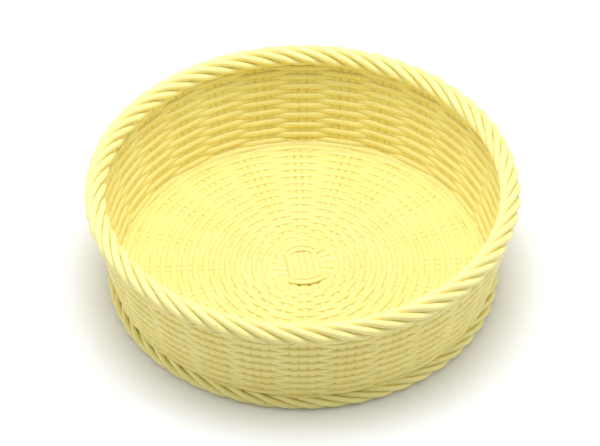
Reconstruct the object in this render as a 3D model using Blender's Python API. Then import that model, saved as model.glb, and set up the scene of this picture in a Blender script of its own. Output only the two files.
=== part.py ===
"""Round, low woven basket with a twisted rope rim and a twisted rope foot.

The floor grows from a cross of base sticks, five laid over five, which fan out into twenty rays.
Weavers pass over and under the rays. Side stakes rise from the floor's edge to the rim, and more
weavers pass inside and outside them. The frame: +Z up, the table at z = 0, the axis at x = y = 0.
"""

import math

import bmesh
import bpy
from mathutils import Vector

# Overall sizes, in metres
RIM_OUTER_RADIUS = 0.130
HEIGHT = 0.074
FOOT_OUTER_RADIUS = 0.1187

# Ropes
RIM_ROPE_RADIUS = 0.006
RIM_STRANDS = 5
RIM_TURNS = 11  # turns of each strand round the rope on its way round the basket
FOOT_ROPE_RADIUS = 0.0048
FOOT_STRANDS = 4
FOOT_TURNS = 13
FOOT_FLAT = 0.0008  # height pressed flat at the foot's lowest crests
STATIONS_PER_TURN = 8
STRAND_FILL = 0.67  # share of its sector that a strand's outer face takes
STRAND_GAP = 0.0005  # between the strands, where they lie closest

# Sticks, stakes and weavers
STICK_THICKNESS = 0.002
STICK_WIDTH = 0.0033
STICKS_EACH_WAY = 5
RAY_END_WIDTH = 0.009
STAKE_THICKNESS = 0.002
STAKE_WIDTH = 0.010
STAKE_COUNT = 28
WEAVER_THICKNESS = 0.0018
FLOOR_WEAVERS = 6
WALL_WEAVERS = 6
BINDING_WIDTH = 0.004

# Places
FLOOR_UNDERSIDE_Z = 0.0005
STAKE_FOOT_Z = 0.0015
WALL_FOOT_INSET = 0.0012  # of the wall's foot, inwards from the foot rope's middle
STAKE_SHOULDER = 0.75  # share of the foot rope's radius, above its middle, where a stake leans out

# Clearances
GAP = 0.0003  # between pieces that touch
STICK_SIDE_GAP = 0.0006  # between neighbouring sticks in the pad
PAD_MARGIN = 0.0003  # past the outermost stick, where a stick starts to bend back to the middle
PAD_CORNER_GAP = 0.0011  # from the pad's corner to the binding
ROW_GAP = 0.0004  # between neighbouring weavers
WALL_WEAVE_GAP = 0.0005  # a weaver crosses a flat stake on a curved wall, so it needs more
ROPE_GAP = 0.0005  # between a rope and what lies against it
SIDE_CLEARANCE = 0.00015  # from a stick's edge to where a weaver starts to cross

# Derived sizes
RIM_MIDDLE_RADIUS = RIM_OUTER_RADIUS - RIM_ROPE_RADIUS
RIM_MIDDLE_Z = HEIGHT - RIM_ROPE_RADIUS
FOOT_MIDDLE_RADIUS = FOOT_OUTER_RADIUS - FOOT_ROPE_RADIUS
FOOT_MIDDLE_Z = FOOT_ROPE_RADIUS - FOOT_FLAT
RAY_COUNT = 4 * STICKS_EACH_WAY
RAY_STEP = 2 * math.pi / RAY_COUNT
STAKE_STEP = 2 * math.pi / STAKE_COUNT
STICK_PITCH = STICK_WIDTH + STICK_SIDE_GAP
PAD_HALF = (STICKS_EACH_WAY - 1) / 2 * STICK_PITCH + STICK_WIDTH / 2 + PAD_MARGIN
BINDING_INNER_RADIUS = PAD_HALF * math.sqrt(2) + PAD_CORNER_GAP
RAY_START_RADIUS = BINDING_INNER_RADIUS - ROW_GAP
STAKE_FOOT_RADIUS = FOOT_MIDDLE_RADIUS - FOOT_ROPE_RADIUS - ROPE_GAP - STAKE_THICKNESS / 2
FLOOR_OUTER_RADIUS = STAKE_FOOT_RADIUS - STAKE_THICKNESS / 2 - GAP
FLOOR_WEAVE = STICK_THICKNESS / 2 + WEAVER_THICKNESS / 2 + GAP
FLOOR_MIDDLE_Z = FLOOR_UNDERSIDE_Z + FLOOR_WEAVE + WEAVER_THICKNESS / 2
WALL_WEAVE = STAKE_THICKNESS / 2 + WEAVER_THICKNESS / 2 + WALL_WEAVE_GAP


def clear_scene():
    for item in list(bpy.data.objects):
        bpy.data.objects.remove(item, do_unlink=True)


def finish(name, colour, roughness):
    """A Principled material in one colour."""
    material = bpy.data.materials.new(name)
    material.use_nodes = True
    shader = material.node_tree.nodes["Principled BSDF"]
    shader.inputs["Base Color"].default_value = (*colour, 1.0)
    shader.inputs["Roughness"].default_value = roughness
    shader.inputs["Metallic"].default_value = 0.0
    return material


class Sheet:
    """A woven sheet, turned about the axis: a point lies along it, proud of it and round it."""

    def __init__(self, radius, height, lean):
        self.start = (radius, height)
        self.along = (math.sin(lean), math.cos(lean))
        self.proud = (math.cos(lean), -math.sin(lean))

    def point(self, distance, offset, angle):
        radius = self.start[0] + distance * self.along[0] + offset * self.proud[0]
        height = self.start[1] + distance * self.along[1] + offset * self.proud[1]
        return Vector((radius * math.cos(angle), radius * math.sin(angle), height))


def make_piece(name, sections, closed, material):
    """Lofts through sections of four corners, as a ring or with a cap at each end."""
    mesh = bmesh.new()
    rings = [[mesh.verts.new(corner) for corner in section] for section in sections]
    count = len(rings)
    for index in range(count if closed else count - 1):
        here = rings[index]
        there = rings[(index + 1) % count]
        # The diagonals of a section's two side faces mirror each other, which keeps twisted
        # neighbours apart by the same gap all along. The outer face's keeps a strand's crest full.
        for first, second, slanted in ((0, 1, True), (1, 2, False), (2, 3, False), (3, 0, True)):
            if slanted:
                mesh.faces.new((here[first], here[second], there[second]))
                mesh.faces.new((here[first], there[second], there[first]))
            else:
                mesh.faces.new((here[first], here[second], there[first]))
                mesh.faces.new((here[second], there[second], there[first]))
    if not closed:
        mesh.faces.new(rings[0])
        mesh.faces.new(rings[-1])
    bmesh.ops.recalc_face_normals(mesh, faces=mesh.faces)
    data = bpy.data.meshes.new(name)
    mesh.to_mesh(data)
    mesh.free()
    data.materials.append(material)
    piece = bpy.data.objects.new(name, data)
    bpy.context.scene.collection.objects.link(piece)
    return piece


def press_on_table(piece):
    """Presses flat what would reach under z = 0, which leaves flat faces to rest on."""
    for vertex in piece.data.vertices:
        vertex.co.z = max(vertex.co.z, 0.0)


def strand_section(middle, angle, twist, strands, rope_radius):
    """A strand's four corners: inner, outer, outer and inner, in the rope's own cross-section."""
    sector = math.pi / strands
    inner_radius = (STRAND_GAP / 2 + GAP) / math.sin(sector)
    inner_half = sector - STRAND_GAP / 2 / inner_radius
    outer_half = sector * STRAND_FILL
    rope = Sheet(middle[0], middle[1], 0.0)
    corners = ((inner_radius, inner_half), (rope_radius, outer_half),
               (rope_radius, -outer_half), (inner_radius, -inner_half))
    return [
        rope.point(reach * math.sin(twist + turn), reach * math.cos(twist + turn), angle)
        for reach, turn in corners
    ]


def make_rope(kind, middle, rope_radius, strands, turns, material):
    """Strands twisted round each other, each a closed ring round the basket."""
    stations = turns * STATIONS_PER_TURN
    pieces = []
    for strand in range(strands):
        start = 2 * math.pi * strand / strands
        sections = []
        for station in range(stations):
            angle = 2 * math.pi * station / stations
            twist = start - turns * angle
            sections.append(strand_section(middle, angle, twist, strands, rope_radius))
        pieces.append(make_piece(f"{kind}_strand_{strand + 1}", sections, True, material))
    return pieces


def ray_half_width(radius):
    share = (radius - RAY_START_RADIUS) / (FLOOR_OUTER_RADIUS - RAY_START_RADIUS)
    return (STICK_WIDTH + share * (RAY_END_WIDTH - STICK_WIDTH)) / 2


def stick_section(place, across, height):
    """A stick's four corners about a place in the floor's plane."""
    up = Vector((0, 0, STICK_THICKNESS / 2))
    centre = Vector((place[0], place[1], height))
    return [centre - across - up, centre - across + up, centre + across + up, centre + across - up]


def make_base_stick(name, index, upper, material):
    """One stick from edge to edge of the floor, straight in the pad and fanned out past it."""
    offset = index - (STICKS_EACH_WAY - 1) / 2
    lean = offset * RAY_STEP
    level = (STICK_THICKNESS + GAP) / 2 * (1 if upper else -1)
    stations = []
    for side in (-1, 1):
        half = [(Vector((offset * STICK_PITCH, side * PAD_HALF)), Vector((1, 0)),
                 STICK_WIDTH / 2, FLOOR_MIDDLE_Z + level)]
        outwards = Vector((math.sin(lean), side * math.cos(lean)))
        across = Vector((math.cos(lean), -side * math.sin(lean)))
        for radius in (RAY_START_RADIUS, FLOOR_OUTER_RADIUS):
            half.append((outwards * radius, across, ray_half_width(radius), FLOOR_MIDDLE_Z))
        stations = half[::-1] if side < 0 else stations + half
    sections = []
    for place, across, half_width, height in stations:
        if not upper:
            place = Vector((-place.y, place.x))
            across = Vector((-across.y, across.x))
        sections.append(stick_section(place, (across * half_width).to_3d(), height))
    return make_piece(name, sections, False, material)


def make_weaver(name, sheet, reach, step, half_angle, weave, sides, material):
    """A closed ring that passes each stick or stake on the side given for it."""
    half = WEAVER_THICKNESS / 2
    sections = []
    for index, side in enumerate(sides):
        for edge in (-1, 1):
            angle = index * step + edge * half_angle
            offset = side * weave
            sections.append([
                sheet.point(reach[0], offset - half, angle),
                sheet.point(reach[0], offset + half, angle),
                sheet.point(reach[1], offset + half, angle),
                sheet.point(reach[1], offset - half, angle),
            ])
    return make_piece(name, sections, True, material)


def rows(start, end, count):
    """The span of each of so many rows between start and end, with the row gap between them."""
    pitch = (end - start + ROW_GAP) / count
    return [(start + row * pitch, start + (row + 1) * pitch - ROW_GAP) for row in range(count)]


def build_floor(stick_finish, weaver_finish):
    # The floor is a sheet that lies flat: along it is outwards and proud of it is up.
    floor = Sheet(0.0, FLOOR_MIDDLE_Z, math.pi / 2)
    for index in range(STICKS_EACH_WAY):
        make_base_stick(f"base_stick_{index + 1:02d}", index, True, stick_finish)
    for index in range(STICKS_EACH_WAY):
        name = f"base_stick_{STICKS_EACH_WAY + index + 1:02d}"
        make_base_stick(name, index, False, stick_finish)

    # Ray 0 points along +X. The lower sticks' rays are the ones nearer the X axis. Proud of the
    # floor is down here, so a side of -1 is above the sticks.
    quarter = RAY_COUNT // 4
    first_upper = (STICKS_EACH_WAY + 1) // 2
    group_sides = [-1 if (ray - first_upper) // quarter % 2 == 0 else 1 for ray in range(RAY_COUNT)]
    reach = (BINDING_INNER_RADIUS, BINDING_INNER_RADIUS + BINDING_WIDTH)
    half_angle = crossing_half_angle(reach)
    make_weaver("slath_binding", floor, reach, RAY_STEP, half_angle, FLOOR_WEAVE, group_sides,
                weaver_finish)

    spans = rows(reach[1] + ROW_GAP, FLOOR_OUTER_RADIUS, FLOOR_WEAVERS)
    for row, span in enumerate(spans):
        sides = [1 if (ray + row) % 2 else -1 for ray in range(RAY_COUNT)]
        make_weaver(f"floor_weaver_{row + 1}", floor, span, RAY_STEP, crossing_half_angle(span),
                    FLOOR_WEAVE, sides, weaver_finish)


def crossing_half_angle(span):
    """Half the angle over which a floor weaver in this span stays clear of a ray."""
    return max((ray_half_width(radius) + SIDE_CLEARANCE) / radius for radius in span)


def wall_sheet():
    """The wall's middle, which rises over the foot rope and aims at the rim rope's middle."""
    low = (FOOT_MIDDLE_RADIUS - WALL_FOOT_INSET,
           FOOT_MIDDLE_Z + FOOT_ROPE_RADIUS + ROPE_GAP + STAKE_THICKNESS)
    run = RIM_MIDDLE_RADIUS - low[0]
    rise = RIM_MIDDLE_Z - low[1]
    sheet = Sheet(low[0], low[1], math.atan2(run, rise))
    return sheet, math.hypot(run, rise) - RIM_ROPE_RADIUS - ROPE_GAP


def make_stake(name, sheet, length, angle, material):
    """A flat stake that stands between the floor and the foot rope, and bends into the wall."""
    half = STAKE_THICKNESS / 2
    shoulder_z = FOOT_MIDDLE_Z + FOOT_ROPE_RADIUS * STAKE_SHOULDER
    inner = [(STAKE_FOOT_RADIUS - half, STAKE_FOOT_Z), (STAKE_FOOT_RADIUS - half, shoulder_z)]
    outer = [(STAKE_FOOT_RADIUS + half, STAKE_FOOT_Z), (STAKE_FOOT_RADIUS + half, shoulder_z)]
    for distance in (0.0, length):
        for side, line in ((-half, inner), (half, outer)):
            place = sheet.point(distance, side, 0.0)
            line.append((place.x, place.z))
    outwards = Vector((math.cos(angle), math.sin(angle), 0))
    across = Vector((-math.sin(angle), math.cos(angle), 0)) * (STAKE_WIDTH / 2)
    sections = []
    for (near, near_z), (far, far_z) in zip(inner, outer):
        back = outwards * near + Vector((0, 0, near_z))
        front = outwards * far + Vector((0, 0, far_z))
        sections.append([back - across, front - across, front + across, back + across])
    return make_piece(name, sections, False, material)


def build_wall(stake_finish, weaver_finish):
    sheet, length = wall_sheet()
    for index in range(STAKE_COUNT):
        make_stake(f"side_stake_{index + 1:02d}", sheet, length, index * STAKE_STEP, stake_finish)
    half_angle = (STAKE_WIDTH / 2 + SIDE_CLEARANCE) / sheet.start[0]
    for row, span in enumerate(rows(STAKE_THICKNESS / 2 + GAP, length - GAP, WALL_WEAVERS)):
        sides = [1 if (stake + row) % 2 else -1 for stake in range(STAKE_COUNT)]
        make_weaver(f"wall_weaver_{row + 1}", sheet, span, STAKE_STEP, half_angle, WALL_WEAVE,
                    sides, weaver_finish)


def main():
    clear_scene()
    stick_finish = finish("base_stick_resin", (0.86, 0.78, 0.33), 0.45)
    stake_finish = finish("side_stake_resin", (0.80, 0.70, 0.28), 0.45)
    weaver_finish = finish("weaver_resin", (0.93, 0.84, 0.31), 0.40)
    rope_finish = finish("rope_resin", (0.95, 0.88, 0.40), 0.38)
    build_floor(stick_finish, weaver_finish)
    build_wall(stake_finish, weaver_finish)
    make_rope("rim", (RIM_MIDDLE_RADIUS, RIM_MIDDLE_Z), RIM_ROPE_RADIUS, RIM_STRANDS, RIM_TURNS,
              rope_finish)
    foot = make_rope("foot", (FOOT_MIDDLE_RADIUS, FOOT_MIDDLE_Z), FOOT_ROPE_RADIUS, FOOT_STRANDS,
                     FOOT_TURNS, rope_finish)
    for strand in foot:
        press_on_table(strand)


main()
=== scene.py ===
# The looks of a round, low basket, moulded in pale yellow plastic as woven cane, around its CAD frame.
#
# Every rod of the weave is its own closed tube. Sixteen rows, and one tucked under the rim, pass inside and
# outside twenty-eight side stakes. Twenty-nine rows pass over and under the twenty rays of the base sticks,
# the last two of them at the corner below the wall. The rim and the foot are ropes of strands twisted round
# each other. Lengths are in metres, and +Z is up.

import logging
import math
import random
from collections.abc import Iterable, Sequence
from dataclasses import dataclass
from enum import Enum

import bmesh
import bpy
from mathutils import Matrix, Vector

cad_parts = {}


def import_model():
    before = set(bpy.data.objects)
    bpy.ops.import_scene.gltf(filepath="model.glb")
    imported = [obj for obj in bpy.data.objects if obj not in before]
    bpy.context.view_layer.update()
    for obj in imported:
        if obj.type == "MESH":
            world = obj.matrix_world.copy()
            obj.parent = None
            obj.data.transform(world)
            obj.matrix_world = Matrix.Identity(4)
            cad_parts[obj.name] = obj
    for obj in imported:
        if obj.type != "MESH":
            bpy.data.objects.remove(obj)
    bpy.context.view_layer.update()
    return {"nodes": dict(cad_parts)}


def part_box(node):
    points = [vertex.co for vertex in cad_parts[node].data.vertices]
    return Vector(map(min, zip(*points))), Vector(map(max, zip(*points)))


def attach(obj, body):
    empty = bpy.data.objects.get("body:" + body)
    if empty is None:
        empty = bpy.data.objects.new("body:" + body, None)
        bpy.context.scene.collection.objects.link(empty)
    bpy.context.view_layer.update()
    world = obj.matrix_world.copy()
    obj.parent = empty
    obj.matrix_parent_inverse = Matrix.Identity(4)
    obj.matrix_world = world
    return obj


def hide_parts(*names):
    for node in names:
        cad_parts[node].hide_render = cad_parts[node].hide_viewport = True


LOG = logging.getLogger("basket")
MM = 0.001
TABLE_GAP = 0.05 * MM
CREASE_DROP = 3.8 * MM
MERGE = 0.001 * MM
TIP_GIRTH = 0.45
BROW_GIRTH = 0.82
BROW_PLACE = 0.35

Colour = tuple[float, float, float, float]


class Slot(Enum):
    """The record's material slots."""

    BASE_STICKS = "base_sticks"
    SIDE_STAKES = "side_stakes"
    WEAVERS = "weavers"
    ROPES = "ropes"


class Side(Enum):
    """The side of the weave on which a row starts: out of the basket or over the floor, or the other."""

    PROUD = 1
    BEHIND = -1


# Nodes and colours


def linear(code: str) -> Colour:
    """Turns an sRGB hex colour into linear values.

    Args:
        code: six hex digits after a #.

    Returns:
        Red, green, blue and an alpha of 1.
    """
    shares = [int(code[place:place + 2], 16) / 255 for place in (1, 3, 5)]
    red, green, blue = [
        share / 12.92 if share <= 0.04045 else ((share + 0.055) / 1.055) ** 2.4 for share in shares
    ]
    return red, green, blue, 1.0


def add_node(
    tree: bpy.types.NodeTree, kind: str, inputs: dict | None = None, **settings: object
) -> bpy.types.Node:
    """Adds a node, sets it up and links or fills its inputs.

    Args:
        tree: the node tree.
        kind: the node's type, without its ShaderNode prefix.
        inputs: by input name or index, an output socket to link or a value to set.
        settings: the node's own properties.

    Returns:
        The new node.
    """
    node = tree.nodes.new(f"ShaderNode{kind}")
    for name, value in settings.items():
        setattr(node, name, value)
    for key, value in (inputs or {}).items():
        if isinstance(value, bpy.types.NodeSocket):
            tree.links.new(value, node.inputs[key])
        else:
            node.inputs[key].default_value = value
    return node


def combine(
    tree: bpy.types.NodeTree,
    operation: str,
    first: bpy.types.NodeSocket,
    second: bpy.types.NodeSocket | float = 0.0,
) -> bpy.types.NodeSocket:
    """Adds a maths node.

    Args:
        tree: the node tree.
        operation: what it works out.
        first: its first input.
        second: its second input, where it has one.

    Returns:
        The result's socket.
    """
    return add_node(tree, "Math", {0: first, 1: second}, operation=operation).outputs[0]


def empty_material(name: str) -> tuple[bpy.types.Material, bpy.types.Node]:
    """Makes a material that holds only its output.

    Args:
        name: the material's name.

    Returns:
        The material and its output node.
    """
    material = bpy.data.materials.new(name)
    material.use_nodes = True
    material.node_tree.nodes.clear()
    return material, add_node(material.node_tree, "OutputMaterial")


@dataclass(frozen=True)
class MouldedCane:
    """Polypropylene moulded as smooth cane: satin, slightly translucent, with the faint unevenness of a
    sprayed mould. Light goes a little way in, which keeps the creases warm instead of grey.

    Attributes:
        name: the material's name.
        colour: the plastic's own colour.
        deeper: the colour of its slightly deeper patches.
        roughness: the mean roughness.
        crease: radius and height of the crease under the rim, where a dark line of painted shade goes, or
            None.
    """

    name: str
    colour: str
    deeper: str
    roughness: float
    crease: tuple[float, float] | None = None

    PATCH = 22 * MM
    PATCH_RANGE = (0.35, 0.65)
    PATCH_MOST = 0.8
    RIPPLE = 2.4 * MM
    RIPPLE_RANGE = (0.3, 0.7)
    GLOSS_SPREAD = (-0.05, 0.07)
    PEEL = 0.55 * MM
    PEEL_DEPTH = 0.012 * MM
    SPECK_SPACING = 7.0 * MM
    SPECK_RADIUS = 0.40 * MM
    SPECK_CORE = 0.5
    SPECK_CUT = 0.72
    SPECK_COLOUR = "#7A6228"
    # A thin dark line painted into the crease under the rim as shade, broken into patches.
    CREASE_SHADE_COLOUR = "#75643A"
    CREASE_SHADE_WIDTH = 0.6 * MM
    CREASE_SHADE_PATCH = 34 * MM
    CREASE_SHADE_RANGE = (0.45, 0.53)
    IOR = 1.49
    LIGHT_DEPTH = 2.2 * MM
    LIGHT_COLOUR = (1.0, 0.75, 0.30)
    LIGHT_SHARE = 0.22

    def make(self) -> bpy.types.Material:
        """Builds the material's nodes.

        Returns:
            The finished material.
        """
        material, output = empty_material(self.name)
        tree = material.node_tree
        place = add_node(tree, "TexCoord").outputs["Object"]
        patches = add_node(tree, "TexNoise", {"Vector": place, "Scale": 1 / self.PATCH, "Detail": 2.0})
        patch_share = add_node(tree, "MapRange", {
            "Value": patches.outputs[0],
            "From Min": self.PATCH_RANGE[0],
            "From Max": self.PATCH_RANGE[1],
            "To Max": self.PATCH_MOST,
        })
        body = self.blend(tree, patch_share.outputs[0], linear(self.colour), linear(self.deeper))
        surface = self.blend(tree, self.specks(tree, place), body, linear(self.SPECK_COLOUR))
        # Painted shade: the dark line in the crease under the rim.
        if self.crease:
            surface = self.blend(tree, self.crease_shade(tree, place), surface, linear(self.CREASE_SHADE_COLOUR))
        ripple = add_node(tree, "TexNoise", {"Vector": place, "Scale": 1 / self.RIPPLE, "Detail": 3.0})
        gloss = add_node(tree, "MapRange", {
            "Value": ripple.outputs[0],
            "From Min": self.RIPPLE_RANGE[0],
            "From Max": self.RIPPLE_RANGE[1],
            "To Min": self.roughness + self.GLOSS_SPREAD[0],
            "To Max": self.roughness + self.GLOSS_SPREAD[1],
        })
        peel = add_node(tree, "TexNoise", {"Vector": place, "Scale": 1 / self.PEEL, "Detail": 1.0})
        relief = add_node(
            tree, "Bump", {"Height": peel.outputs[0], "Distance": self.PEEL_DEPTH, "Strength": 1.0}
        )
        shader = add_node(tree, "BsdfPrincipled", {
            "Base Color": surface,
            "Roughness": gloss.outputs[0],
            "Normal": relief.outputs[0],
            "IOR": self.IOR,
            "Subsurface Weight": self.LIGHT_SHARE,
            "Subsurface Radius": self.LIGHT_COLOUR,
            "Subsurface Scale": self.LIGHT_DEPTH,
        })
        tree.links.new(shader.outputs[0], output.inputs["Surface"])
        return material

    @staticmethod
    def blend(
        tree: bpy.types.NodeTree,
        share: bpy.types.NodeSocket,
        first: bpy.types.NodeSocket | Colour,
        second: bpy.types.NodeSocket | Colour,
    ) -> bpy.types.NodeSocket:
        """Mixes two colours.

        Args:
            tree: the node tree.
            share: 0 for the first colour, 1 for the second.
            first: the first colour.
            second: the second colour.

        Returns:
            The mixed colour's socket.
        """
        mix = add_node(tree, "Mix", {0: share, 6: first, 7: second}, data_type="RGBA")
        return mix.outputs[2]

    def specks(self, tree: bpy.types.NodeTree, place: bpy.types.NodeSocket) -> bpy.types.NodeSocket:
        """The sparse dirt specks that a moulded basket picks up.

        Args:
            tree: the material's node tree.
            place: the object coordinates.

        Returns:
            A socket that is 1 in a speck and 0 off it.
        """
        cells = add_node(tree, "TexVoronoi", {"Vector": place, "Scale": 1 / self.SPECK_SPACING})
        edge = self.SPECK_RADIUS / self.SPECK_SPACING
        dots = add_node(tree, "MapRange", {
            "Value": cells.outputs["Distance"],
            "From Min": self.SPECK_CORE * edge,
            "From Max": edge,
            "To Min": 1.0,
            "To Max": 0.0,
        })
        chosen = add_node(tree, "SeparateColor", {"Color": cells.outputs["Color"]})
        few = combine(tree, "GREATER_THAN", chosen.outputs[0], self.SPECK_CUT)
        return combine(tree, "MULTIPLY", dots.outputs[0], few)

    def crease_shade(self, tree: bpy.types.NodeTree, place: bpy.types.NodeSocket) -> bpy.types.NodeSocket:
        """Painted shade: a thin, broken dark line in the crease under the rim.

        Args:
            tree: the material's node tree.
            place: the object coordinates.

        Returns:
            A socket from 0, no painted shade, to 1.
        """
        parts = add_node(tree, "SeparateXYZ", {"Vector": place})
        across = combine(tree, "POWER", parts.outputs[0], 2.0)
        along = combine(tree, "POWER", parts.outputs[1], 2.0)
        radius = combine(tree, "POWER", combine(tree, "ADD", across, along), 0.5)
        outside = combine(tree, "GREATER_THAN", radius, self.crease[0])
        off_line = combine(tree, "ABSOLUTE", combine(tree, "SUBTRACT", parts.outputs[2], self.crease[1]))
        line = add_node(
            tree, "MapRange", {"Value": off_line, "From Max": self.CREASE_SHADE_WIDTH, "To Min": 1.0, "To Max": 0.0}
        )
        patches = add_node(tree, "TexNoise", {"Vector": place, "Scale": 1 / self.CREASE_SHADE_PATCH, "Detail": 4.0})
        shade_patches = add_node(tree, "MapRange", {
            "Value": patches.outputs[0],
            "From Min": self.CREASE_SHADE_RANGE[0],
            "From Max": self.CREASE_SHADE_RANGE[1],
        })
        kept = combine(tree, "MULTIPLY", outside, line.outputs[0])
        return combine(tree, "MULTIPLY", kept, shade_patches.outputs[0])


# Rods


@dataclass(frozen=True)
class Station:
    """A place on a rod's path, with its girth there as a share of the outline and its turn about the path."""

    place: Vector
    girth: float = 1.0
    turn: float = 0.0


def rounded(stations: list[Station], length: float) -> list[Station]:
    """Rounds off the two ends of an open rod with narrower stations.

    Args:
        stations: the rod's own stations.
        length: of each rounding.

    Returns:
        The stations with the roundings put in at both ends.
    """
    result = list(stations)
    for _ in range(2):
        first, second = result[0], result[1]
        along = (second.place - first.place).normalized()
        tip = Station(first.place, first.girth * TIP_GIRTH, first.turn)
        brow = Station(first.place + along * length * BROW_PLACE, first.girth * BROW_GIRTH, first.turn)
        full = Station(first.place + along * length, first.girth, first.turn)
        result = [tip, brow, full] + result[1:]
        result.reverse()
    return result


@dataclass(frozen=True)
class Oval:
    """The outline of a slightly flattened rod.

    Attributes:
        width: across the rod, along the sheet it is woven into.
        thickness: through the sheet.
        corners: points round it.
        fullness: the superellipse's exponent, which is 2 for an ellipse.
    """

    width: float
    thickness: float
    corners: int = 10
    fullness: float = 2.3

    def points(self) -> list[tuple[float, float]]:
        """Finds the outline's points.

        Returns:
            The points in order, X along the width.
        """
        result = []
        for corner in range(self.corners):
            angle = 2 * math.pi * (corner + 0.5) / self.corners
            across, through = [
                math.copysign(abs(part) ** (2 / self.fullness), part)
                for part in (math.cos(angle), math.sin(angle))
            ]
            result.append((across * self.width / 2, through * self.thickness / 2))
        return result


@dataclass(frozen=True)
class Petal:
    """The outline of a rope's strand: a sector of the rope with a full, rounded outer face.

    Attributes:
        reach: the rope's radius.
        strands: how many strands share the rope.
        fall: share of the radius by which the face falls away at the strand's sides.
        rounding: the power by which it falls, which is 2 for a round face and more for a flat one.
        corners: points on the outer face.
        side_gap: the gap to the next strand, at the rope's surface.
    """

    reach: float
    strands: int
    fall: float
    rounding: float
    corners: int = 13
    side_gap: float = 0.08 * MM
    CORE = 0.10

    def points(self) -> list[tuple[float, float]]:
        """Finds the outline's points.

        Returns:
            The points in order, X along the strand's own middle line out of the rope.
        """
        half = math.pi / self.strands - self.side_gap / self.reach
        result = []
        for corner in range(self.corners):
            share = 2 * corner / (self.corners - 1) - 1
            radius = self.reach * (1 - self.fall * abs(share) ** self.rounding)
            result.append((radius * math.cos(share * half), radius * math.sin(share * half)))
        inner = self.reach * self.CORE
        result.append((inner, 0.0))
        return result


class Rods:
    """Rods of one outline, swept along their paths by a curve and made one mesh.

    Attributes:
        name: the piece's name.
        closed: whether each rod is a ring.
    """

    def __init__(self, name: str, outline: Oval | Petal, closed: bool) -> None:
        """Starts a sweep that has no rods yet.

        Args:
            name: the piece's name.
            outline: the outline of every rod.
            closed: whether each rod is a ring.
        """
        self.name = name
        self.closed = closed
        self.outline = self.outline_curve(outline.points())
        self.curve = bpy.data.curves.new(name, "CURVE")
        self.curve.dimensions = "3D"
        self.curve.twist_mode = "Z_UP"
        self.curve.bevel_mode = "OBJECT"
        self.curve.bevel_object = self.outline
        self.curve.use_fill_caps = not closed

    @staticmethod
    def outline_curve(points: Sequence[tuple[float, float]]) -> bpy.types.Object:
        """Makes the flat closed curve that is swept.

        Args:
            points: the outline's points.

        Returns:
            The curve's object.
        """
        curve = bpy.data.curves.new("outline", "CURVE")
        curve.dimensions = "2D"
        spline = curve.splines.new("POLY")
        spline.points.add(len(points) - 1)
        spline.use_cyclic_u = True
        for point, (across, through) in zip(spline.points, points):
            point.co = (across, through, 0.0, 1.0)
        holder = bpy.data.objects.new("outline", curve)
        bpy.context.scene.collection.objects.link(holder)
        return holder

    def add(self, stations: Iterable[Station]) -> None:
        """Adds a rod.

        Args:
            stations: along the rod, in order.
        """
        stations = list(stations)
        spline = self.curve.splines.new("POLY")
        spline.points.add(len(stations) - 1)
        spline.use_cyclic_u = self.closed
        for point, station in zip(spline.points, stations):
            point.co = (*station.place, 1.0)
            point.radius = station.girth
            point.tilt = station.turn

    def mesh(self) -> bpy.types.Mesh:
        """Sweeps the rods and removes the curves.

        Returns:
            The closed mesh, which stays on or above the ground.
        """
        holder = bpy.data.objects.new("sweep", self.curve)
        bpy.context.scene.collection.objects.link(holder)
        graph = bpy.context.evaluated_depsgraph_get()
        mesh = bpy.data.meshes.new_from_object(holder.evaluated_get(graph))
        for helper in (holder, self.outline):
            bpy.data.objects.remove(helper)
        shape = bmesh.new()
        shape.from_mesh(mesh)
        bmesh.ops.remove_doubles(shape, verts=shape.verts, dist=MERGE)
        for vertex in shape.verts:
            vertex.co.z = max(vertex.co.z, 0.0)
        bmesh.ops.recalc_face_normals(shape, faces=shape.faces)
        shape.to_mesh(mesh)
        shape.free()
        return mesh

    def join(self, piece: bpy.types.Object) -> None:
        """Adds the rods to a finished piece of another outline.

        Args:
            piece: the piece, which keeps its name and finish.
        """
        mesh = self.mesh()
        shape = bmesh.new()
        shape.from_mesh(mesh)
        shape.from_mesh(piece.data)
        shape.to_mesh(piece.data)
        shape.free()
        piece.data.shade_smooth()
        bpy.data.meshes.remove(mesh)

    def piece(self, material: bpy.types.Material, slot: Slot, nodes: Sequence[str]) -> bpy.types.Object:
        """Makes the mesh and hands it over as a piece of the basket.

        Args:
            material: the piece's finish.
            slot: the material slot that it stands for; not used.
            nodes: the CAD nodes that it replaces.

        Returns:
            The piece.
        """
        mesh = self.mesh()
        mesh.materials.clear()
        mesh.materials.append(material)
        mesh.shade_smooth()
        mesh.name = self.name
        piece = bpy.data.objects.new(self.name, mesh)
        bpy.context.scene.collection.objects.link(piece)
        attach(piece, "root")
        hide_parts(*nodes)
        LOG.info("%s: %d faces, stands for %s", self.name, len(mesh.polygons), ", ".join(nodes))
        return piece


# What the CAD model says


def span(nodes: Iterable[str]) -> tuple[Vector, Vector]:
    """The box round several CAD nodes.

    Args:
        nodes: their names.

    Returns:
        The lowest and the highest corner.
    """
    boxes = [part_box(node) for node in nodes]
    lows, highs = zip(*boxes)
    return (
        Vector([min(corner[axis] for corner in lows) for axis in range(3)]),
        Vector([max(corner[axis] for corner in highs) for axis in range(3)]),
    )


@dataclass(frozen=True)
class RopeSeat:
    """Where a rope lies: the radius and height of its middle, and its own radius."""

    radius: float
    height: float
    reach: float


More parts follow.
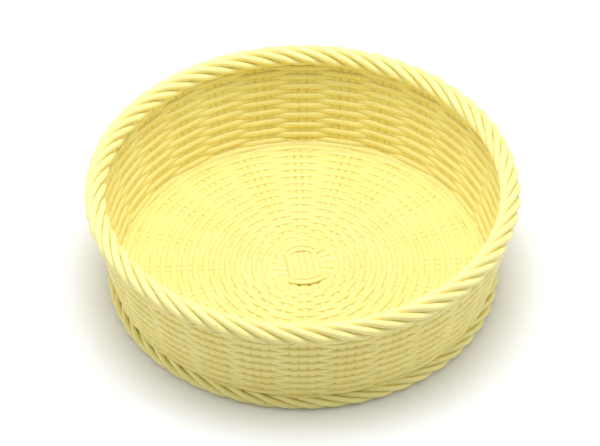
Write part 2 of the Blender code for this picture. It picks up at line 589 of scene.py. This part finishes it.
@dataclass(frozen=True)
class Basket:
    """The places that the CAD model gives.

    Attributes:
        rim: the rim rope's seat.
        foot: the foot rope's seat.
        floor_height: the height of the floor's middle.
        floor_radius: the floor's outer radius.
    """

    rim: RopeSeat
    foot: RopeSeat
    floor_height: float
    floor_radius: float

    FOOT_FLAT = 0.8 * MM
    RIM_INSET = 0.65 * MM
    RIM_FULLER = 0.5 * MM
    FOOT_SLIMMER = 0.3 * MM
    FOOT_OUTSET = 1.05 * MM
    FOOT_SINK = 0.25 * MM

    @classmethod
    def read(cls, nodes: Iterable[str]) -> "Basket":
        """Measures the CAD nodes.

        Args:
            nodes: the names of all CAD nodes.

        Returns:
            The basket's places.
        """
        names = list(nodes)
        rim = span(name for name in names if name.startswith("rim_strand"))
        foot = span(name for name in names if name.startswith("foot_strand"))
        floor = span(name for name in names if name.startswith("floor_weaver"))
        rim_reach = (rim[1].z - rim[0].z) / 2
        foot_reach = (foot[1].z + cls.FOOT_FLAT) / 2
        return cls(
            rim=RopeSeat(rim[1].y - rim_reach, rim[1].z - rim_reach, rim_reach),
            foot=RopeSeat(foot[1].y - foot_reach, foot[1].z - foot_reach, foot_reach),
            floor_height=(floor[0].z + floor[1].z) / 2,
            floor_radius=floor[1].y,
        )

    def full_rim(self) -> RopeSeat:
        """The seat of the rim rope as it looks, slightly fuller than its plain solids."""
        return RopeSeat(self.rim.radius - self.RIM_INSET, self.rim.height, self.rim.reach + self.RIM_FULLER)

    def full_foot(self) -> RopeSeat:
        """The seat of the foot rope as it looks, pressed flat by a little where it stands."""
        reach = self.foot.reach - self.FOOT_SLIMMER
        return RopeSeat(self.foot.radius + self.FOOT_OUTSET, reach - self.FOOT_SINK, reach)


@dataclass(frozen=True)
class WallSheet:
    """The middle of the wall, which flares from its lowest to its highest row and bows slightly outwards.

    Attributes:
        foot: radius and height of the lowest row.
        top: radius and height of the highest row.
        bow: how far the flare at the foot is over the mean flare, and the flare at the top under it.
    """

    foot: tuple[float, float]
    top: tuple[float, float]
    bow: float = math.radians(2.9)

    FOOT_INSET = 0.5 * MM
    FOOT_RISE = 3.7 * MM
    TOP_INSET = 0.7 * MM
    TOP_DROP = 9.3 * MM

    @classmethod
    def between(cls, foot: RopeSeat, rim: RopeSeat) -> "WallSheet":
        """Finds the wall that rises from one rope to the other.

        Args:
            foot: the foot rope's seat.
            rim: the rim rope's seat.

        Returns:
            The middle of the wall.
        """
        return cls(
            foot=(foot.radius - cls.FOOT_INSET, foot.height + cls.FOOT_RISE),
            top=(rim.radius - cls.TOP_INSET, rim.height - cls.TOP_DROP),
        )

    @property
    def flare(self) -> float:
        """The mean flare from upright."""
        return math.atan2(self.top[0] - self.foot[0], self.top[1] - self.foot[1])

    @property
    def curvature(self) -> float:
        """The radius of the bow."""
        return math.dist(self.foot, self.top) / (2 * math.sin(self.bow))

    @property
    def length(self) -> float:
        """From the lowest to the highest row, along the wall."""
        return 2 * self.bow * self.curvature

    def lean(self, distance: float) -> float:
        """The wall's flare at a distance up from its lowest row."""
        return self.flare + self.bow - distance / self.curvature

    def place(self, distance: float, offset: float, angle: float) -> Vector:
        """A point of the wall.

        Args:
            distance: up the wall from its lowest row.
            offset: out of the wall, away from the basket's axis.
            angle: round the basket, from +X.

        Returns:
            The point.
        """
        low, lean = self.lean(0), self.lean(distance)
        radius = self.foot[0] + self.curvature * (math.cos(lean) - math.cos(low)) + offset * math.cos(lean)
        height = self.foot[1] + self.curvature * (math.sin(low) - math.sin(lean)) - offset * math.sin(lean)
        return Vector((radius * math.cos(angle), radius * math.sin(angle), height))


def weave(phase: float, sharpness: float) -> float:
    """How far a row stands off the weave's middle.

    Args:
        phase: along the row, half a turn for each column.
        sharpness: how quickly it dives between columns.

    Returns:
        From -1 to 1, as a share of the whole offset.
    """
    return math.tanh(sharpness * math.cos(phase)) / math.tanh(sharpness)


class Wander:
    """The small unevenness of a hand-made pattern, smooth round a ring and the same in each run.

    Attributes:
        size: the most that it strays.
        starts: the angle at which each wave starts.
    """

    WAVES = (3, 5, 11)

    def __init__(self, seed: int, size: float) -> None:
        """Draws the waves' starts.

        Args:
            seed: of the draws.
            size: the most that it strays.
        """
        source = random.Random(seed)
        self.size = size
        self.starts = [source.uniform(0, 2 * math.pi) for _ in self.WAVES]

    def at(self, angle: float) -> float:
        """The offset at an angle round the ring."""
        total = sum(math.sin(wave * angle + start) for wave, start in zip(self.WAVES, self.starts))
        return self.size * total / len(self.WAVES)


# Sub-assemblies


@dataclass
class BaseSticks:
    """Ten sticks, five laid over five, which fan out into twenty rays with rods pushed in beside them.

    Attributes:
        basket: the CAD model's places.
        each_way: sticks in each half of the cross.
        pitch: from stick to stick where they lie side by side.
        turn: of the pad of crossed sticks, anticlockwise from above.
        ray_turn: of the rays, the same way.
        pad_half: half the length of a stick's straight middle.
        fan_radius: where the rays lie in one plane and are evenly spread.
        side_start: radius of the side rods' pointed ends.
        side_full: radius from which the side rods are at their full girth.
        stick: a stick's outline.
        side_rod: a side rod's outline.
        side_offset: from a ray's middle to a side rod's, where the rod has its full girth.
        narrow_offset: the same at the rod's pointed end.
        side_tip: girth of the pointed end, as a share of the full girth.
        swell: how much fuller a ray is where it leaves the slath.
        swell_length: how far from there it is back to its own girth.
        layer_gap: half the gap between the upper and the lower sticks.
        end_length: length of the rounding at a stick's end.
        side_end_length: length of the rounding at a side rod's end.
        ray_steps: stretches of each ray.
        side_steps: stretches of each side rod.
    """

    basket: Basket
    each_way: int = 5
    pitch: float = 3.9 * MM
    turn: float = math.radians(9.3)
    ray_turn: float = math.radians(1.8)
    pad_half: float = 9.5 * MM
    fan_radius: float = 19.5 * MM
    side_start: float = 33.0 * MM
    side_full: float = 72.0 * MM
    stick: Oval = Oval(4.25 * MM, 1.8 * MM)
    side_rod: Oval = Oval(4.5 * MM, 1.8 * MM)
    side_offset: float = 4.5 * MM
    narrow_offset: float = 1.9 * MM
    side_tip: float = 0.25
    swell: float = 0.42
    swell_length: float = 12 * MM
    layer_gap: float = 0.1 * MM
    end_length: float = 1.0 * MM
    side_end_length: float = 0.8 * MM
    ray_steps: int = 8
    side_steps: int = 9

    @property
    def rays(self) -> int:
        """The number of rays."""
        return 4 * self.each_way

    def build(self, material: bpy.types.Material) -> None:
        """Makes the ten sticks, the upper five first.

        Args:
            material: the finish.
        """
        for group in range(2):
            for index in range(self.each_way):
                self.build_stick(group, index, material)

    def build_stick(self, group: int, index: int, material: bpy.types.Material) -> None:
        """Makes one stick with the rods pushed in beside its two rays.

        Args:
            group: 0 for the upper sticks, which run from front to back, 1 for the lower ones.
            index: from left to right, as seen along the sticks from their first end.
            material: the finish.
        """
        number = group * self.each_way + index + 1
        node = f"base_stick_{number:02d}"
        offset = index - (self.each_way - 1) / 2
        step = 2 * math.pi / self.rays
        facing = -math.pi / 2 + group * math.pi / 2
        level = (self.stick.thickness / 2 + self.layer_gap) * (1 if group == 0 else -1)
        rods = Rods(f"wicker_{node}", self.stick, closed=False)
        ends = []
        for end, sign in ((facing, 1), (facing + math.pi, -1)):
            ray = end + self.ray_turn + sign * offset * step
            ends.append((ray, [self.on_ray(ray, radius) for radius in self.stations()]))
        across = Vector((-math.sin(facing + self.turn), math.cos(facing + self.turn), 0))
        along = Vector((math.cos(facing + self.turn), math.sin(facing + self.turn), 0))
        middle = [
            Station(across * offset * self.pitch + along * run
                    + Vector((0, 0, self.basket.floor_height + level)))
            for run in (self.pad_half, 0.0, -self.pad_half)
        ]
        rods.add(rounded(ends[0][1][::-1] + middle + ends[1][1], self.end_length))
        piece = rods.piece(material, Slot.BASE_STICKS, [node])
        side = Rods("side", self.side_rod, closed=False)
        for ray, _ in ends:
            for hand in (-1, 1):
                side.add(self.side_stations(ray, hand))
        side.join(piece)

    def stations(self) -> list[float]:
        """The radii of the points along a ray."""
        reach = self.basket.floor_radius - self.fan_radius
        return [self.fan_radius + reach * step / self.ray_steps for step in range(self.ray_steps + 1)]

    def on_ray(self, ray: float, radius: float) -> Station:
        """Finds a station on a ray's middle line, fuller where the rays leave the slath.

        Args:
            ray: the ray's angle.
            radius: how far out it lies.

        Returns:
            The station.
        """
        girth = 1.0 + self.swell * max(0.0, 1 - abs(radius - self.fan_radius) / self.swell_length)
        place = Vector((radius * math.cos(ray), radius * math.sin(ray), self.basket.floor_height))
        return Station(place, girth)

    def side_stations(self, ray: float, hand: int) -> list[Station]:
        """The path of a rod pushed in beside a ray, from its pointed end outwards.

        Args:
            ray: the ray's angle.
            hand: -1 for its right, 1 for its left, as seen from the middle.

        Returns:
            The stations.
        """
        outer = self.basket.floor_radius
        result = []
        for step in range(self.side_steps + 1):
            radius = self.side_start + (outer - self.side_start) * step / self.side_steps
            share = min(1.0, (radius - self.side_start) / (self.side_full - self.side_start))
            offset = self.narrow_offset + (self.side_offset - self.narrow_offset) * share
            side = Vector((-math.sin(ray), math.cos(ray), 0)) * hand * offset
            place = Vector((radius * math.cos(ray), radius * math.sin(ray), self.basket.floor_height))
            result.append(Station(place + side, girth=self.side_tip + (1 - self.side_tip) * share))
        return rounded(result, self.side_end_length)


@dataclass
class SlathBinding:
    """Two rounds of rod that tie the cross of base sticks, over the upper sticks and under the lower.

    Attributes:
        basket: the CAD model's places.
        sticks: the base sticks that they tie.
        radii: of the two rounds.
        rod: their outline.
        rise: how far they stand over or under the floor's middle.
        sharpness: how quickly they dive between the two.
        points: stations in each round.
    """

    basket: Basket
    sticks: BaseSticks
    radii: tuple[float, float] = (12.7 * MM, 16.6 * MM)
    rod: Oval = Oval(3.75 * MM, 1.8 * MM)
    rise: float = 2.3 * MM
    sharpness: float = 2.2
    points: int = 72

    def build(self, material: bpy.types.Material) -> None:
        """Makes the two rounds.

        Args:
            material: the finish.
        """
        rods = Rods("wicker_slath_binding", self.rod, closed=True)
        for radius in self.radii:
            stations = []
            for point in range(self.points):
                angle = 2 * math.pi * point / self.points
                phase = 2 * (angle + math.pi / 2 - self.sticks.turn)
                height = self.basket.floor_height + self.rise * weave(phase, self.sharpness)
                stations.append(Station(Vector((radius * math.cos(angle), radius * math.sin(angle), height))))
            rods.add(stations)
        rods.piece(material, Slot.WEAVERS, ["slath_binding"])


@dataclass
class FloorWeave:
    """Rows of rod that pass over and under the rays, from the slath to the corner below the wall.

    Attributes:
        basket: the CAD model's places.
        sticks: the base sticks that the rows are woven round.
        rows: how many rows there are.
        first_radius: the first row's radius.
        pitch: from row to row.
        flat_radius: where the floor starts to turn up to the wall.
        turn_up: the height that the last row has gained.
        rod: a row's outline.
        rise: how far a row stands over or under the floor's middle.
        sharpness: how quickly it dives between rays.
        swell: how much fuller a row is between rays, and again at the corner.
        corner_calm: share of the rise that is lost at the corner.
        unevenness: how far a row strays from its circle.
        points_per_column: stations in each column.
        nodes: the nodes that share the rows.
    """

    basket: Basket
    sticks: BaseSticks
    rows: int = 29
    first_radius: float = 20.4 * MM
    pitch: float = 3.25 * MM
    flat_radius: float = 104.0 * MM
    turn_up: float = 1.9 * MM
    rod: Oval = Oval(3.9 * MM, 2.0 * MM)
    rise: float = 0.72 * MM
    sharpness: float = 1.3
    swell: float = 0.15
    corner_calm: float = 0.6
    unevenness: float = 0.1 * MM
    points_per_column: int = 10
    nodes: int = 6

    def build(self, material: bpy.types.Material) -> None:
        """Makes the rows, band by band.

        Args:
            material: the finish.
        """
        for band in range(self.nodes):
            rods = Rods(f"wicker_floor_weaver_{band + 1}", self.rod, closed=True)
            first = round(band * self.rows / self.nodes)
            for row in range(first, round((band + 1) * self.rows / self.nodes)):
                side = Side.PROUD if row % 2 else Side.BEHIND
                rods.add(self.row(self.first_radius + row * self.pitch, side, row))
            rods.piece(material, Slot.WEAVERS, [f"floor_weaver_{band + 1}"])

    def row(self, radius: float, side: Side, seed: int) -> list[Station]:
        """One row's path.

        Args:
            radius: of the row.
            side: on which it passes the first ray.
            seed: of its unevenness.

        Returns:
            The stations.
        """
        columns = self.sticks.rays
        wander = Wander(seed, self.unevenness)
        count = columns * self.points_per_column
        start = -math.pi / 2 + self.sticks.ray_turn
        last_radius = self.first_radius + (self.rows - 1) * self.pitch
        corner = max(0.0, (radius - self.flat_radius) / (last_radius - self.flat_radius))
        middle = self.basket.floor_height + self.turn_up * corner ** 2
        slope = 2 * self.turn_up * corner / (last_radius - self.flat_radius)
        result = []
        for point in range(count):
            angle = start + 2 * math.pi * point / count
            share = weave(columns / 2 * (angle - start), self.sharpness)
            height = middle + side.value * self.rise * (1 - self.corner_calm * corner) * share
            reach = radius + wander.at(angle)
            place = Vector((reach * math.cos(angle), reach * math.sin(angle), height))
            girth = 1 + self.swell * (1 - share ** 2) + self.swell * corner
            result.append(Station(place, girth, turn=-math.atan(slope)))
        return result


@dataclass
class SideStakes:
    """Twenty-eight stakes, each a bundle of three rods side by side, from the floor's edge to the rim.

    Attributes:
        basket: the CAD model's places.
        sheet: the wall's middle.
        count: the number of stakes.
        rods_each: rods in each stake.
        pitch: from rod to rod.
        head: how far a stake reaches past the highest row that shows, into the rim rope.
        rod: a rod's outline.
        corner: the stake's way round the corner, as steps outwards and upwards from the floor's edge.
        wall_start: how far up the wall's own line the stake joins it.
        wall_steps: stretches from there to its head.
        end_length: length of the rounding at a rod's end.
    """

    basket: Basket
    sheet: WallSheet
    count: int = 28
    rods_each: int = 3
    pitch: float = 5.2 * MM
    head: float = 3.0 * MM
    rod: Oval = Oval(5.35 * MM, 1.7 * MM, corners=12, fullness=2.9)
    corner: tuple[tuple[float, float], ...] = (
        (-2.0 * MM, 0.1 * MM), (1.7 * MM, 0.4 * MM), (4.2 * MM, 1.4 * MM), (6.0 * MM, 2.6 * MM)
    )
    wall_start: float = 0.6 * MM
    wall_steps: int = 9
    end_length: float = 0.8 * MM

    def build(self, material: bpy.types.Material) -> None:
        """Makes every stake.

        Args:
            material: the finish.
        """
        for index in range(self.count):
            node = f"side_stake_{index + 1:02d}"
            rods = Rods(f"wicker_{node}", self.rod, closed=False)
            for place in range(self.rods_each):
                offset = (place - (self.rods_each - 1) / 2) * self.pitch
                rods.add(self.stations(2 * math.pi * index / self.count, offset))
            rods.piece(material, Slot.SIDE_STAKES, [node])

    def stations(self, angle: float, offset: float) -> list[Station]:
        """One rod's path up the wall.

        Args:
            angle: of the stake's middle.
            offset: of the rod from the stake's middle, along the wall.

        Returns:
            The stations.
        """
        edge, floor = self.basket.floor_radius, self.basket.floor_height
        path = [(edge + out, floor + up) for out, up in self.corner]
        reach = self.sheet.length + self.head
        for step in range(self.wall_steps + 1):
            place = self.sheet.place(self.wall_start + reach * step / self.wall_steps, 0.0, 0.0)
            path.append((place.x, place.z))
        outwards = Vector((math.cos(angle), math.sin(angle), 0))
        across = Vector((-math.sin(angle), math.cos(angle), 0))
        result = []
        for radius, height in path:
            side = across * offset * radius / self.sheet.top[0]
            result.append(Station(outwards * radius + side + Vector((0, 0, height))))
        return rounded(result, self.end_length)


@dataclass
class WallWeave:
    """Rows of rod that pass inside and outside the side stakes, from the foot to the rim.

    Attributes:
        sheet: the wall's middle.
        stakes: the side stakes that the rows are woven round.
        rows: how many rows show between the ropes.
        tucked: rows above them, half sunk in the rim rope, which close the wall up to it.
        rod: a row's outline.
        rise: how far a row stands out of or into the wall's middle.
        sharpness: how quickly it dives between stakes.
        swell: how much fuller a rod is where it passes through the wall.
        unevenness: how far a row strays up or down.
        points_per_column: stations in each column.
        nodes: the nodes that share the rows.
        first_seed: of the lowest row's unevenness.
    """

    sheet: WallSheet
    stakes: SideStakes
    rows: int = 16
    tucked: int = 1
    rod: Oval = Oval(2.4 * MM, 3.5 * MM)
    rise: float = 0.92 * MM
    sharpness: float = 1.3
    swell: float = 0.27
    unevenness: float = 0.1 * MM
    points_per_column: int = 12
    nodes: int = 6
    first_seed: int = 100

    def build(self, material: bpy.types.Material) -> None:
        """Makes the rows, band by band.

        Args:
            material: the finish.
        """
        pitch = self.sheet.length / (self.rows - 1)
        total = self.rows + self.tucked
        for band in range(self.nodes):
            rods = Rods(f"wicker_wall_weaver_{band + 1}", self.rod, closed=True)
            for row in range(round(band * total / self.nodes), round((band + 1) * total / self.nodes)):
                side = Side.PROUD if row % 2 else Side.BEHIND
                rods.add(self.row(row * pitch, side, self.first_seed + row))
            rods.piece(material, Slot.WEAVERS, [f"wall_weaver_{band + 1}"])

    def row(self, distance: float, side: Side, seed: int) -> list[Station]:
        """One row's path.

        Args:
            distance: up the wall.
            side: on which it passes the first stake.
            seed: of its unevenness.

        Returns:
            The stations.
        """
        columns = self.stakes.count
        wander = Wander(seed, self.unevenness)
        count = columns * self.points_per_column
        result = []
        for point in range(count):
            angle = 2 * math.pi * point / count
            share = weave(columns / 2 * angle, self.sharpness)
            place = self.sheet.place(distance + wander.at(angle), side.value * self.rise * share, angle)
            girth = 1 + self.swell * (1 - share ** 2)
            result.append(Station(place, girth, turn=self.sheet.lean(distance)))
        return result


@dataclass
class Rope:
    """A rope of strands twisted round each other, laid in a ring.

    Attributes:
        kind: rim or foot, as in the CAD nodes' names.
        seat: where it lies.
        strands: how many strands it has.
        turns: of each strand round the rope, on its way round the basket.
        fall: share of its radius by which it falls away from a strand's crest to the grooves.
        rounding: the power by which it falls.
        start: the first strand's angle in the rope at +X, from outwards to up.
        steps_per_turn: stations in each turn.
    """

    kind: str
    seat: RopeSeat
    strands: int
    turns: int
    fall: float
    rounding: float
    start: float = 0.0
    steps_per_turn: int = 22

    def build(self, material: bpy.types.Material) -> None:
        """Makes each strand as a piece of its own.

        Args:
            material: the finish.
        """
        outline = Petal(self.seat.reach, self.strands, self.fall, self.rounding)
        count = self.turns * self.steps_per_turn
        for strand in range(self.strands):
            node = f"{self.kind}_strand_{strand + 1}"
            rods = Rods(f"wicker_{node}", outline, closed=True)
            first = self.start + 2 * math.pi * strand / self.strands
            stations = []
            for step in range(count):
                angle = 2 * math.pi * step / count
                place = Vector((self.seat.radius * math.cos(angle), self.seat.radius * math.sin(angle),
                                self.seat.height))
                stations.append(Station(place, turn=self.turns * angle - first))
            rods.add(stations)
            rods.piece(material, Slot.ROPES, [node])


# The studio


@dataclass(frozen=True)
class Lamp:
    """A round soft lamp that points at the basket: its place, its width and its power in watts."""

    place: tuple[float, float, float]
    size: float
    watts: float


@dataclass(frozen=True)
class Studio:
    """A white sweep of floor under a bright tent, with three soft lamps, and the camera.

    The camera looks from the front. Its elevation, pitch, pan and roll are in radians, and its distance
    is in outer radii of the basket.

    Attributes:
        scale: the basket's outer radius.
    """

    scale: float
    DISTANCE = 14.0
    ELEVATION = 0.76493
    PITCH = 0.015804
    PAN = 0.000978
    ROLL = -0.00355
    LENS = 178.8
    FLOOR_SIZE = 8.0
    FLOOR_COLOUR = "#F4F6FA"
    BOUNCE_COLOUR = "#E6E5E0"
    TENT_COLOUR = "#FFFFFF"
    TENT_STRENGTH = 0.39
    LAMPS = (
        Lamp((0.0, 0.07, 1.30), 0.9, 14.0),
        Lamp((-1.25, -0.05, 0.62), 0.9, 4.0),
        Lamp((1.25, -0.05, 0.62), 0.9, 4.0),
    )
    CLIP_END = 100.0

    def build(self) -> None:
        """Makes the floor, the light and the camera."""
        self.floor()
        self.tent()
        self.lamps()
        self.camera()

    def floor(self) -> None:
        """Lays the floor just under the basket's flats."""
        shape = bmesh.new()
        bmesh.ops.create_grid(shape, x_segments=1, y_segments=1, size=self.FLOOR_SIZE / 2)
        bmesh.ops.translate(shape, verts=shape.verts, vec=(0, 0, -TABLE_GAP))
        mesh = bpy.data.meshes.new("studio_floor")
        shape.to_mesh(mesh)
        shape.free()
        material, output = empty_material("matt_paper_sweep")
        tree = material.node_tree
        seen = self.seen(tree)
        colour = add_node(
            tree, "Mix", {0: seen, 6: linear(self.BOUNCE_COLOUR), 7: linear(self.FLOOR_COLOUR)},
            data_type="RGBA",
        )
        shader = add_node(tree, "BsdfDiffuse", {"Color": colour.outputs[2]})
        tree.links.new(shader.outputs[0], output.inputs["Surface"])
        mesh.materials.append(material)
        floor = bpy.data.objects.new("studio_floor", mesh)
        bpy.context.scene.collection.objects.link(floor)

    @staticmethod
    def seen(tree: bpy.types.NodeTree) -> bpy.types.NodeSocket:
        """Tells the rays that show the backdrop itself, in view or in a gloss, from the rays that light it.

        Args:
            tree: the node tree.

        Returns:
            A socket that is 1 for those rays and 0 for all others.
        """
        rays = add_node(tree, "LightPath")
        direct = combine(tree, "MAXIMUM", rays.outputs["Is Camera Ray"], rays.outputs["Is Glossy Ray"])
        return combine(tree, "MAXIMUM", direct, rays.outputs["Is Transmission Ray"])

    def tent(self) -> None:
        """Lights the basket evenly from all round."""
        world = bpy.data.worlds.new("light_tent")
        bpy.context.scene.world = world
        world.use_nodes = True
        tree = world.node_tree
        tree.nodes.clear()
        strength = add_node(
            tree, "MapRange", {"Value": self.seen(tree), "To Min": self.TENT_STRENGTH, "To Max": 1.0}
        )
        light = add_node(
            tree, "Background", {"Color": linear(self.TENT_COLOUR), "Strength": strength.outputs[0]}
        )
        output = add_node(tree, "OutputWorld")
        tree.links.new(light.outputs[0], output.inputs["Surface"])

    def lamps(self) -> None:
        """Hangs one soft lamp over the basket and a weaker one at either side."""
        for number, lamp in enumerate(self.LAMPS, start=1):
            data = bpy.data.lights.new(f"soft_lamp_{number}", "AREA")
            data.shape = "DISK"
            data.size = lamp.size
            data.energy = lamp.watts
            holder = bpy.data.objects.new(data.name, data)
            holder.location = lamp.place
            holder.rotation_euler = (-Vector(lamp.place)).to_track_quat("-Z", "Y").to_euler()
            bpy.context.scene.collection.objects.link(holder)

    def camera(self) -> None:
        """Sets the camera at the viewing angle."""
        data = bpy.data.cameras.new("camera")
        data.lens = self.LENS
        data.clip_end = self.CLIP_END
        camera = bpy.data.objects.new("camera", data)
        distance = self.DISTANCE * self.scale
        place = Matrix.Translation(
            (0, -distance * math.cos(self.ELEVATION), distance * math.sin(self.ELEVATION))
        )
        tilt = Matrix.Rotation(math.pi / 2 - self.ELEVATION + self.PITCH, 4, "X")
        pan = Matrix.Rotation(self.PAN, 4, "Y")
        roll = Matrix.Rotation(self.ROLL, 4, "Z")
        camera.matrix_world = place @ tilt @ pan @ roll
        bpy.context.scene.collection.objects.link(camera)
        bpy.context.scene.camera = camera


def main() -> None:
    """Builds the basket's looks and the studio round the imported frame."""
    logging.basicConfig(level=logging.INFO, format="%(name)s: %(message)s")
    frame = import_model()
    bpy.context.scene.view_settings.view_transform = "Standard"
    basket = Basket.read(frame["nodes"])
    LOG.info("rim %s, foot %s", basket.rim, basket.foot)
    Studio(basket.rim.radius + basket.rim.reach).build()

    stick_finish = MouldedCane("moulded_cane_sticks", "#F5EA9B", "#F2E58F", 0.44).make()
    stake_finish = MouldedCane("moulded_cane_stakes", "#F3E491", "#EFDE84", 0.46).make()
    weaver_finish = MouldedCane("moulded_cane_weavers", "#F6EA99", "#F3E58D", 0.42).make()
    # The crease under the rim, where the ropes' finish has a painted shade line.
    crease = (basket.rim.radius, basket.rim.height - CREASE_DROP)
    rope_finish = MouldedCane("moulded_cane_ropes", "#F8EEA3", "#F6EA98", 0.40, crease).make()

    sticks = BaseSticks(basket)
    sticks.build(stick_finish)
    SlathBinding(basket, sticks).build(weaver_finish)
    FloorWeave(basket, sticks).build(weaver_finish)

    sheet = WallSheet.between(basket.foot, basket.rim)
    stakes = SideStakes(basket, sheet)
    stakes.build(stake_finish)
    WallWeave(sheet, stakes).build(weaver_finish)
    Rope("rim", basket.full_rim(), strands=5, turns=11, fall=0.39, rounding=2.3).build(rope_finish)
    Rope("foot", basket.full_foot(), strands=4, turns=13, fall=0.58, rounding=2.1).build(rope_finish)


if __name__ == "__main__":
    main()
